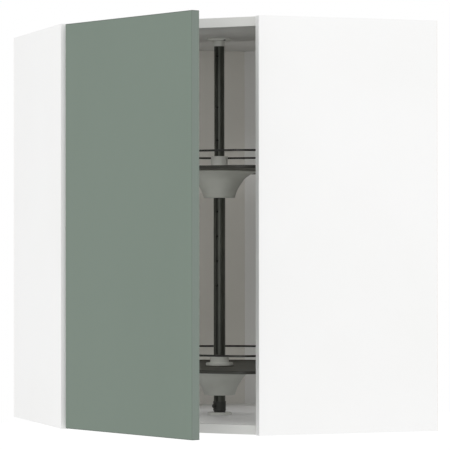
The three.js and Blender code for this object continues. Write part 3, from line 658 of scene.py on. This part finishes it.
def makeTube(level, sizes=poleSizes):
    # A tube with a groove and sunk holes: around the tube the radius is R less the deeper of groove(a) and
    # hole(a, z), both eased steps, of the distance across the groove and of that from the hole's centre.
    radius, low, high, holes = (sizes[level][key] for key in ("radius", "low", "high", "holes"))
    fine, plain, chamfer = (sizes[key] for key in ("fineTo", "plainFrom", "chamfer"))
    girth = 2 * np.pi * radius
    across = np.concatenate([np.arange(-fine, fine + 0.01, 0.2), np.linspace(plain, girth - plain, 56)])
    nearHoles = [np.arange(-fine, fine + 0.01, 0.25) + hole for hole in holes]
    ends = [low, low + chamfer, high - chamfer, high]
    rows = np.unique(np.concatenate([ends, np.linspace(low + 5, high - 5, 12), *nearHoles]))
    middle = np.where(across > girth / 2, across - girth, across)[None, :]
    groove = softStep((sizes["grooveWidth"] / 2 + 0.15 - np.abs(middle)) / 0.3)
    nearest = np.min(np.abs(rows[:, None] - np.array(holes)[None, :]), axis=1)[:, None]
    hole = softStep((sizes["holeRadius"] + 0.2 - np.hypot(middle, nearest)) / 0.4)
    depth = np.maximum(sizes["grooveDepth"] * groove, sizes["holeDepth"] * hole)
    angle = (across / radius)[None, :] + math.radians(sizes["grooveAt"])
    reach = radius - depth - np.where((rows == low) | (rows == high), chamfer, 0)[:, None]
    vertices, faces = closedGrid(stacked(reach * np.cos(angle), reach * np.sin(angle), rows[:, None]) * mm)
    tube = makePiece(f"{level}Pole", vertices, faces, "carousel", poleLacquer,
                     [f"{level}_pole_tube"], 40)
    # painted shade: marks the holes and groove to be painted dark
    paint(tube, "hollow", np.maximum(hole, 0.8 * groove))


for level in ("lower", "upper"):
    makeTube(level)
makeTurned("poleFoot", poleSizes["foot"], "carousel", blackMoulding, ["pole_foot"])
print("pole made")


# bearings and clamp
bearingSizes = {
    "flange": 24.5, "thickness": 5,
    "screwCircle": 18, "screwAngle": -77,
    "seatRadius": 4.2, "seatDepth": 2.0,
    "bottom": {
        "collar": 7.4, "seated": 18,
        "profile": [[7.6, 5.2], [7.4, 5.6], [7.4, 23.8], [6.9, 24.7], [5.9, 25], [0, 25]],
    },
    "top": {
        "collar": 12.4, "hungFrom": 782,
        "profile": [[12.6, 5.2], [12.4, 5.6], [12.4, 15.4], [12.1, 15.9], [11.7, 16], [11.2, 15.9],
                    [10.8, 15.4], [10.8, 5.2], [8.6, 5.2], [8.6, 16.6], [7.2, 18.4], [0, 18.5]],
    },
}


def sinkScrews(rows, openSeats, sizes=bearingSizes):
    # Seats for the two screw heads: the flange's face drops by an eased step of the distance from each screw,
    # or, with openSeats, of the distance from the line that runs out over the rim from the screw.
    top, radius, depth = (sizes[key] for key in ("thickness", "seatRadius", "seatDepth"))
    angle = math.radians(sizes["screwAngle"])
    toScrew = np.array([math.cos(angle), math.sin(angle)])
    for outwards in (toScrew, -toScrew):
        offset = rows[..., :2] - outwards * sizes["screwCircle"]
        if openSeats:
            offset = offset - np.maximum(offset @ outwards, 0)[..., None] * outwards
        seat = top - depth * softStep((radius - np.hypot(offset[..., 0], offset[..., 1])) / 0.5)
        rows[..., 2] = np.where(rows[..., 2] < top + 0.01, np.minimum(rows[..., 2], seat), rows[..., 2])


def makeBearing(end, sizes=bearingSizes):
    # A flange with a collar, turned about the pole. Its profile runs from the axis under the flange, round
    # the rim, in over the face in fine steps and up the collar. The top one hangs upside down.
    bearing, rim, top = sizes[end], sizes["flange"], sizes["thickness"]
    face = [[radius, top] for radius in np.linspace(rim - 1.3, bearing["collar"] + 0.6, 26)]
    edge = [[0, 0], [rim - 0.3, 0], [rim, 0.3], [rim, top - 1.3], [rim - 0.4, top - 0.4]]
    rows = turned(edge + face + bearing["profile"], 144)
    hung = "hungFrom" in bearing
    sinkScrews(rows, hung)
    vertices, faces = closedGrid(rows)
    if hung:
        vertices[:, 2] = bearing["hungFrom"] - vertices[:, 2]
        faces = turnedOver(faces)
    else:
        vertices[:, 2] += bearing["seated"]
    makePiece(f"{end}Bearing", vertices * mm, faces, "carcass", paleMoulding,
              [f"{end}_bearing"])


makeBearing("bottom")
makeBearing("top")

clampSizes = {
    "low": 26, "high": 45, "inner": 12.1, "outer": 13.1,
    "rib": 3, "ribHeight": 0.3,
    "knobAngle": -160,
    "knob": [[0, 12.2], [1.7, 12.2], [1.7, 12.6], [3.6, 12.6], [3.6, 14.2], [3.8, 14.6], [3.8, 16.5],
             [3.3, 16.9], [2, 17], [0, 17]],
    "grips": 12, "gripFrom": 14.4,
}


def makeClamp(sizes=clampSizes):
    # A ring with a rib at each rim.
    low, high, inner, outer, rib = (sizes[key] for key in ("low", "high", "inner", "outer", "rib"))
    waist, slope = outer - sizes["ribHeight"], rib + 0.4
    profile = [[inner, low], [outer, low], [outer, low + rib], [waist, low + slope], [waist, high - slope],
               [outer, high - rib], [outer, high], [inner, high]]
    makeTurned("poleClamp", profile, "carousel", blackMoulding, ["pole_clamp"], loop=True)


def makeKnob(sizes=clampSizes):
    # A knob turned about its own axis, which points away from the pole. Its rim is scalloped: the radius is
    # R (1 + 0.05 cos 12 a).
    rows = turned(eased(sizes["knob"], 0.3))
    angle = np.linspace(0, 2 * np.pi, rows.shape[1], endpoint=False)
    grip = 1 + 0.05 * np.cos(sizes["grips"] * angle) * (rows[..., 2] > sizes["gripFrom"])
    rows[..., :2] *= grip[..., None]
    vertices, faces = closedGrid(rows * mm)
    turn = math.radians(sizes["knobAngle"])
    axes = np.array([[-math.sin(turn), math.cos(turn), 0], [0, 0, 1], [math.cos(turn), math.sin(turn), 0]])
    middle = np.array([0, 0, (sizes["low"] + sizes["high"]) / 2 * mm])
    makePiece("clampKnob", vertices @ axes + middle, faces, "carousel", blackMoulding,
              ["pole_clamp_knob"])


makeClamp()
makeKnob()
print("bearings and clamp made")


# shelves with their rails, bells and hubs
shelfSizes = {
    "radius": 248.24, "flat": 205.04, "corner": 42, "thickness": 6, "tops": {"lower": 118, "upper": 518},
    "rounding": 1.4, "lip": 6, "recess": 1.5, "bore": 12.1, "boss": 29.6,
}


def shelfOutline(inset, sizes=shelfSizes):
    # The shelf's edge, drawn in by inset: a straight front, a small arc at each end of it and one large arc
    # behind. Neighbours share a tangent, and each arc keeps its centre and angles as the outline is drawn in.
    radius, flat, corner = (sizes[key] for key in ("radius", "flat", "corner"))
    centreX = math.sqrt((radius - corner) ** 2 - (flat - corner) ** 2)
    centreY = corner - flat
    turn = math.atan2(centreY, centreX)
    small = np.linspace(-np.pi / 2, turn, 17)[1:-1]
    large = np.linspace(turn, np.pi - turn, 161)
    front = np.linspace(-centreX, centreX, 33)
    line = np.stack([front, np.full_like(front, inset - flat)], -1)
    right = [centreX, centreY] + (corner - inset) * np.stack([np.cos(small), np.sin(small)], -1)
    back = (radius - inset) * np.stack([np.cos(large), np.sin(large)], -1)
    left = right[::-1] * [-1, 1]
    cosine, sine = math.cos(frontAngle), math.sin(frontAngle)
    return np.vstack([line, right, back, left]) @ np.array([[cosine, sine], [-sine, cosine]])


def makeShelf(level, sizes=shelfSizes):
    # Rows of the outline and rows of circles with the same headings, from the underside round the edge to the
    # lip, the sunk face, the boss round the pole and down its bore, closed into a ring.
    top, rim = sizes["tops"][level], shelfOutline(0)
    headings = unit(rim)
    thick, curve, lip, recess = (sizes[key] for key in ("thickness", "rounding", "lip", "recess"))
    bore, boss = sizes["bore"], sizes["boss"]

    def outlineRow(inset, z):
        return np.column_stack([shelfOutline(inset), np.full(len(rim), top + z)])

    def circleRow(radius, z):
        return np.column_stack([headings * radius, np.full(len(rim), top + z)])

    bend = np.linspace(0, np.pi / 2, 5)
    lower = [outlineRow(curve * (1 - math.sin(a)), -thick + curve * (1 - math.cos(a))) for a in bend]
    upper = [outlineRow(curve * (1 - math.cos(a)), -curve * (1 - math.sin(a))) for a in bend]
    under = [circleRow(bore, -thick), circleRow(bore + 0.6, -thick), circleRow(90, -thick)]
    raised = [outlineRow(lip - 0.6, 0), outlineRow(lip, -0.2)]
    sunk = [outlineRow(lip + 0.5, 0.3 - recess), outlineRow(lip + 1.2, -recess),
            circleRow(110, -recess), circleRow(boss + 1, -recess)]
    hub = [circleRow(boss + 0.2, -0.3), circleRow(boss - 0.4, 0),
           circleRow(bore + 0.6, 0), circleRow(bore, -0.3)]
    rows = [*under, *lower, *upper, *raised, *sunk, *hub]
    vertices, faces = closedGrid(np.array(rows) * mm, True)
    shelf = makePiece(f"{level}Shelf", vertices, faces, "carousel", shelfFacing,
                      [f"{level}_shelf"])
    # painted shade: the rounded edge's rows are painted darker
    paintedEdgeShade = np.zeros((len(rows), len(rim)))
    firstRow, lastRow = len(under), len(under) + len(lower) + len(upper) - 1
    paintedEdgeShade[firstRow + 1:lastRow] = 1       # the rounded edge's inner rows
    paint(shelf, "rim", paintedEdgeShade)


railSizes = {
    "rise": 29, "radius": 2.0, "inset": 2.6,
    "postRadius": 1.6, "footRadius": 3.4, "postAngles": (-40, 8, 48, 132, 172, 220),
}


def makeRail(level, sizes=railSizes):
    # A round wire carried round the shelf's outline: the section's circle lies in the plane of the outline's
    # normal and Z. Posts are turned, with a foot on the shelf's lip and their tops let into the wire.
    rise, radius, inset = (sizes[key] for key in ("rise", "radius", "inset"))
    post, foot = sizes["postRadius"], sizes["footRadius"]
    top = shelfSizes["tops"][level]
    path = shelfOutline(inset)
    normal = path - shelfOutline(inset + 1)
    around = np.linspace(0, 2 * np.pi, 16, endpoint=False)
    flat = path[:, None] + normal[:, None] * radius * np.cos(around)[None, :, None]
    wire = stacked(flat[..., 0], flat[..., 1], top + rise + radius * np.sin(around)[None, :])
    parts = [closedGrid(wire[::-1], True)]
    profile = [[0, 0], [foot, 0], [foot, 1], [post + 0.5, 2.2], [post, 3.4], [post, rise], [0, rise]]
    rows = turned(eased(profile, 0.3), 20)
    reach = shelfSizes["radius"] - inset - 0.2
    for angle in np.radians(sizes["postAngles"]) + frontAngle:
        parts.append(closedGrid(rows + np.array([reach * math.cos(angle), reach * math.sin(angle), top])))
    vertices, faces = joined(parts)
    makePiece(f"{level}Rail", vertices * mm, faces, "carousel", wireLacquer,
              [f"{level}_shelf_rail"])


bellSizes = {
    "curve": [[78, 0], [77.2, 1.8], [66, 5.4], [53, 14], [45, 24.5], [37.4, 36.6], [33.4, 47], [32, 53]],
    "wall": 2.2, "sleeve": 12.1, "sleeveWall": 2.4,
}


def makeBell(level, sizes=bellSizes):
    # A trumpet turned about the pole: its outside is a smooth curve through measured points, its inside the
    # same curve moved in by the wall along the curve's normal, with a foot and a sleeve round the pole.
    outside = smoothCurve([[radius, -drop] for radius, drop in sizes["curve"]], 49)
    slope = unit(np.gradient(outside, axis=0))
    inside = outside + sizes["wall"] * np.stack([slope[:, 1], -slope[:, 0]], -1)
    inside = inside[(inside[:, 1] < -1.6) & (inside[:, 1] > -49.5)][::-1]
    sleeve, wall = sizes["sleeve"], sizes["sleeveWall"]
    foot = [[31.2, -53.8], [24, -54], [sleeve + 3.4, -54], [sleeve + 3, -53.4], [sleeve + 0.3, -53.4]]
    tube = [[sleeve, -53], [sleeve, 0], [sleeve + wall, 0], [sleeve + wall, -50.4], [28, -50.4]]
    profile = np.vstack([outside, foot, tube, inside, [[72, -0.3], [72.3, 0]]])
    makeTurned(f"{level}Bell", profile, "carousel", shadedBellMoulding, [f"{level}_shelf_bell"],
               loop=True, columns=128, ease=0, height=shelfSizes["tops"][level] - shelfSizes["thickness"])


hubSizes = {
    "lower": {"collar": 19, "height": 19, "bore": 12.1, "boreTop": 12.1},
    "upper": {"collar": 17, "height": 24.6, "bore": 12.1, "boreTop": 10.6},
    "base": 27.6, "baseThickness": 5.5, "boreStep": 12.3,
}


def makeHub(level, sizes=hubSizes):
    # A disc with a collar round the pole. Where the bore narrows, it does so at boreStep above the shelf.
    collar, height, bore, boreTop = (sizes[level][key] for key in ("collar", "height", "bore", "boreTop"))
    base, thick, step = sizes["base"], sizes["baseThickness"], sizes["boreStep"]
    profile = [[bore, 0], [base, 0], [base, thick - 1.2], [base - 1.2, thick], [collar + 1.6, thick],
               [collar + 0.4, thick + 0.5], [collar, thick + 1.8], [collar, height], [boreTop, height]]
    if boreTop < bore:
        profile += [[boreTop, step], [bore, step]]
    makeTurned(f"{level}Hub", profile, "carousel", paleMoulding, [f"{level}_hub"],
               loop=True, columns=96, ease=0.5, height=shelfSizes["tops"][level])


for level in ("lower", "upper"):
    makeShelf(level)
    makeRail(level)
    makeBell(level)
    makeHub(level)
print("shelves, rails, bells and hubs made")


# screws
screwSizes = {
    "bearing": {"head": 3.4, "height": 2.0, "shank": 1.8, "length": 10},
    "cup": {"head": 3.4, "height": 2.0, "shank": 1.8, "length": 11},
    "arm": {"head": 3.6, "height": 2.2, "shank": 1.8, "length": 10},
    "bracket": {"head": 5.6, "height": 2.4, "shank": 3.5, "length": 30},
}
crossShape = {"blade": 0.13, "arm": 0.62}    # half its width and its length, as shares of the head's radius


def crossSlot(rows, head, shape=crossShape):
    # 1 inside a cross and 0 around it: an eased step of the lesser of |x| and |y| against half a blade, times
    # an eased step of the distance from the middle against the length of an arm.
    x, y = rows[..., 0], rows[..., 1]
    inBlade = softStep((head * shape["blade"] - np.minimum(np.abs(x), np.abs(y))) / (head * 0.07) + 0.5)
    inArm = softStep((head * shape["arm"] - np.hypot(x, y)) / (head * 0.2) + 0.5)
    return inBlade * inArm


def makeScrew(node, kind, direction, body, material=platedSteel):
    # A round head with a cross sunk in it, over a plain shank, turned about Z and then laid along direction.
    head, height, shank, length = (screwSizes[kind][key] for key in ("head", "height", "shank", "length"))
    face = np.linspace(0, 1, 22)
    dome = np.stack([face * head * 0.93, height - height * 0.35 * face ** 2.6], -1)
    side = [[head, height * 0.35], [head, 0.1], [head - 0.1, 0], [shank + 0.1, 0]]
    tip = [[shank, -0.2], [shank, -length + shank], [0, -length]]
    rows = turned(np.vstack([dome, side, tip])[::-1], 64)
    rows[..., 2] -= crossSlot(rows, head) * (rows[..., 2] > height * 0.3) * height * 0.55
    low, high = (np.array(corner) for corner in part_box(node))
    axis = unit(np.array(direction, float))
    across = unit(np.cross([0, 0, 1] if abs(axis[2]) < 0.9 else [1, 0, 0], axis))
    seat = (low + high) / 2 + axis * ((length + height) / 2 - height) * mm
    vertices, faces = closedGrid(rows)
    placed = (vertices * mm) @ np.array([across, np.cross(axis, across), axis]) + seat
    makePiece(node.replace("_", "-") + "-detailed", placed, faces, body, material, [node], 28)


for number in (1, 2):
    makeScrew(f"bottom_bearing_screw_{number}", "bearing", (0, 0, 1), "carcass", darkSteel)
    makeScrew(f"top_bearing_screw_{number}", "bearing", (0, 0, -1), "carcass", darkSteel)
for end in ("lower", "upper"):
    makeScrew(f"{end}_hinge_arm_screw", "arm", (1, 0, 0), "carcass")
    for mark in ("a", "b"):
        makeScrew(f"{end}_hinge_cup_screw_{mark}", "cup", doorInward, "door")
makeScrew("left_suspension_screw", "bracket", (0, -1, 0), "carcass")
makeScrew("right_suspension_screw", "bracket", (-1, 0, 0), "carcass")
print("screws made")


# pressed and small metal pieces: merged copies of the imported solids
def packedSurface(node):
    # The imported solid's loose triangles are merged by rounding their corners to a hundredth of a millimetre.
    source, grid = nodes[node].data, 0.01 * mm
    points = np.empty(len(source.vertices) * 3, np.float32)
    source.vertices.foreach_get("co", points)
    corners = np.empty(len(source.loops), np.int32)
    source.loops.foreach_get("vertex_index", corners)
    rounded = np.round(points.reshape(-1, 3) / grid).astype(np.int64)
    merged, index = np.unique(rounded, axis=0, return_inverse=True)
    faces = index.reshape(-1)[corners].reshape(-1, 3)
    return merged * grid, faces[(faces != np.roll(faces, 1, axis=1)).all(axis=1)]


def makeRefined(node, material, bevel=0.25):
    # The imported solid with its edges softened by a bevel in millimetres.
    vertices, faces = packedSurface(node)
    name, body = node.replace("_", "-") + "-finished", nodes[node]["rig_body"]
    piece = makePiece(name, vertices, faces, body, material, [node], 35)
    if bevel:
        soft = piece.modifiers.new("softEdges", "BEVEL")
        soft.width, soft.segments = bevel * mm, 2
        soft.limit_method, soft.angle_limit = "ANGLE", math.radians(40)
        soft.harden_normals = False


camSizes = {
    "radius": 7.4, "cap": 3.0,
    "crossHead": 5.8,              # the radius of the head that its cross would fit
    "sink": 1.8,                   # how deep the cross is
}


def makeCamLock(node, sizes=camSizes):
    # A round cap with a cross sunk in it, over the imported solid, whose outer face is drawn back to the cap's
    # underside.
    radius, cap = sizes["radius"], sizes["cap"]
    solid, solidFaces = packedSurface(node)
    low, high = (np.array(corner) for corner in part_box(node))
    facesDown = low[2] < edges["ceiling"] / 2
    out, level = (-1, low[2]) if facesDown else (1, high[2])
    solid[np.abs(solid[:, 2] - level) < 0.01 * mm, 2] = level - out * cap * mm
    face = [[reach, 0] for reach in np.linspace(radius - 0.3, 0, 28)]
    rows = turned([[0, -cap], [radius, -cap], [radius, -0.3], *face], 96)
    rows[..., 2] -= crossSlot(rows, sizes["crossHead"]) * (rows[..., 2] > -0.1) * sizes["sink"]
    vertices, faces = closedGrid(rows)
    middle = np.array([*(low[:2] + high[:2]) / 2, level])
    lid = (vertices * (mm, mm, out * mm) + middle, turnedOver(faces) if facesDown else faces)
    vertices, faces = joined([lid, (solid, solidFaces)])
    makePiece(node.replace("_", "-") + "-finished", vertices, faces, "carcass", platedSteel, [node])


for end in ("lower", "upper"):
    for part in ("hinge_cup", "hinge_lever", "hinge_pin", "hinge_plate", "hinge_arm"):
        makeRefined(f"{end}_{part}", platedSteel)
    makeRefined(f"{end}_hub_pin", platedSteel, 0)
for side in ("left", "right"):
    makeRefined(f"{side}_suspension_bracket", platedSteel, 0.6)
    for end in ("bottom", "top"):
        makeCamLock(f"{end}_{side}_cam_lock")
        makeRefined(f"{end}_{side}_cam_bolt", platedSteel, 0)
for end in ("bottom", "top"):
    makeRefined(f"{end}_door_bumper", paleMoulding, 0)
print("small pieces refined")


# studio
warmWhite = (1, 0.982, 0.95)
studioLook = {
    "floorHeight": -1.45,          # the cabinet hangs on a wall, at this height above the floor
    "floorSize": 40,
    "floorColour": (0.9, 0.9, 0.9, 1),
    "floorGlow": 0.18,             # what the camera sees on top of the floor's own light
    "worldStrength": 0.95,
    "white": (1, 1, 1, 1),
    "lamps": {                     # watts, width and height, where it stands and what it faces
        "key": {"power": 42, "size": (2.4, 2.4), "place": (-3.2, -3.6, 3.2), "aim": (0, 0, 0.4)},
        "fill": {"power": 12.5, "size": (3.0, 3.0), "place": (2.8, -4.2, 1.0), "aim": (0, 0, 0.4)},
        "doorway": {"power": 0.43, "size": (0.4, 0.68), "place": (-0.17, -0.17, 0.38), "aim": (0, 0, 0.37),
                    "colour": warmWhite},
        "underShelf": {"power": 0.17, "size": (0.4, 0.4), "place": (0.03, 0.03, 0.104),
                       "aim": (0.03, 0.03, 0)},
        "washHigh": {"power": 0.132, "size": (0.34, 0.36), "place": (0.05, 0.05, 0.585),
                     "aim": (0.3, 0.3, 0.585), "colour": warmWhite},
        "washLow": {"power": 0.075, "size": (0.34, 0.36), "place": (0.05, 0.05, 0.205),
                    "aim": (0.3, 0.3, 0.205), "colour": warmWhite},
    },
}
seenRays = ("Is Camera Ray", "Is Glossy Ray", "Is Transmission Ray")


def makeFloor(look=studioLook):
    # A pale floor that glows a little to what looks at it, and is clear from below.
    half, height = look["floorSize"] / 2, look["floorHeight"]
    corners = [[-half, -half, height], [half, -half, height], [half, half, height], [-half, half, height]]
    mesh = bpy.data.meshes.new("floor")
    mesh.from_pydata(corners, [], [[0, 1, 2, 3]])
    floor = bpy.data.objects.new("floor", mesh)
    bpy.context.scene.collection.objects.link(floor)
    finish = Finish("studioFloor")
    diffuse = finish.add("ShaderNodeBsdfDiffuse", {}, {"Color": look["floorColour"]})
    clear = finish.add("ShaderNodeBsdfTransparent")
    strength = look["floorGlow"] * finish.rays(*seenRays)
    glow = finish.add("ShaderNodeEmission", {}, {"Color": look["white"], "Strength": strength})
    top = finish.add("ShaderNodeAddShader", {}, {0: diffuse, 1: glow})
    under = finish.add("ShaderNodeNewGeometry", output="Backfacing")
    both = finish.add("ShaderNodeMixShader", {}, {0: under, 1: top, 2: clear})
    finish.add("ShaderNodeOutputMaterial", {}, {"Surface": both})
    mesh.materials.append(finish.material)


def makeWorld(look=studioLook):
    # White to what looks at it, and a little weaker as a light.
    world = bpy.data.worlds.new("studio")
    bpy.context.scene.world = world
    air = Finish("studio", world)
    strength = look["worldStrength"] + (1 - look["worldStrength"]) * air.rays(*seenRays)
    background = air.add("ShaderNodeBackground", {}, {"Color": look["white"], "Strength": strength})
    air.add("ShaderNodeOutputWorld", {}, {"Surface": background})


def makeLamps(look=studioLook):
    for name, lamp in look["lamps"].items():
        data = bpy.data.lights.new(name, "AREA")
        data.shape = "RECTANGLE"
        data.energy, data.color = lamp["power"], lamp.get("colour", (1, 1, 1))
        data.size, data.size_y = lamp["size"]
        place = Vector(lamp["place"])
        turn = (Vector(lamp["aim"]) - place).to_track_quat("-Z", "Y").to_matrix().to_4x4()
        fitting = bpy.data.objects.new(name, data)
        fitting.matrix_world = Matrix.Translation(place) @ turn
        fitting.visible_camera = False
        bpy.context.scene.collection.objects.link(fitting)


makeFloor()
makeWorld()
makeLamps()
bpy.context.scene.view_settings.view_transform = "Standard"
print("studio made")
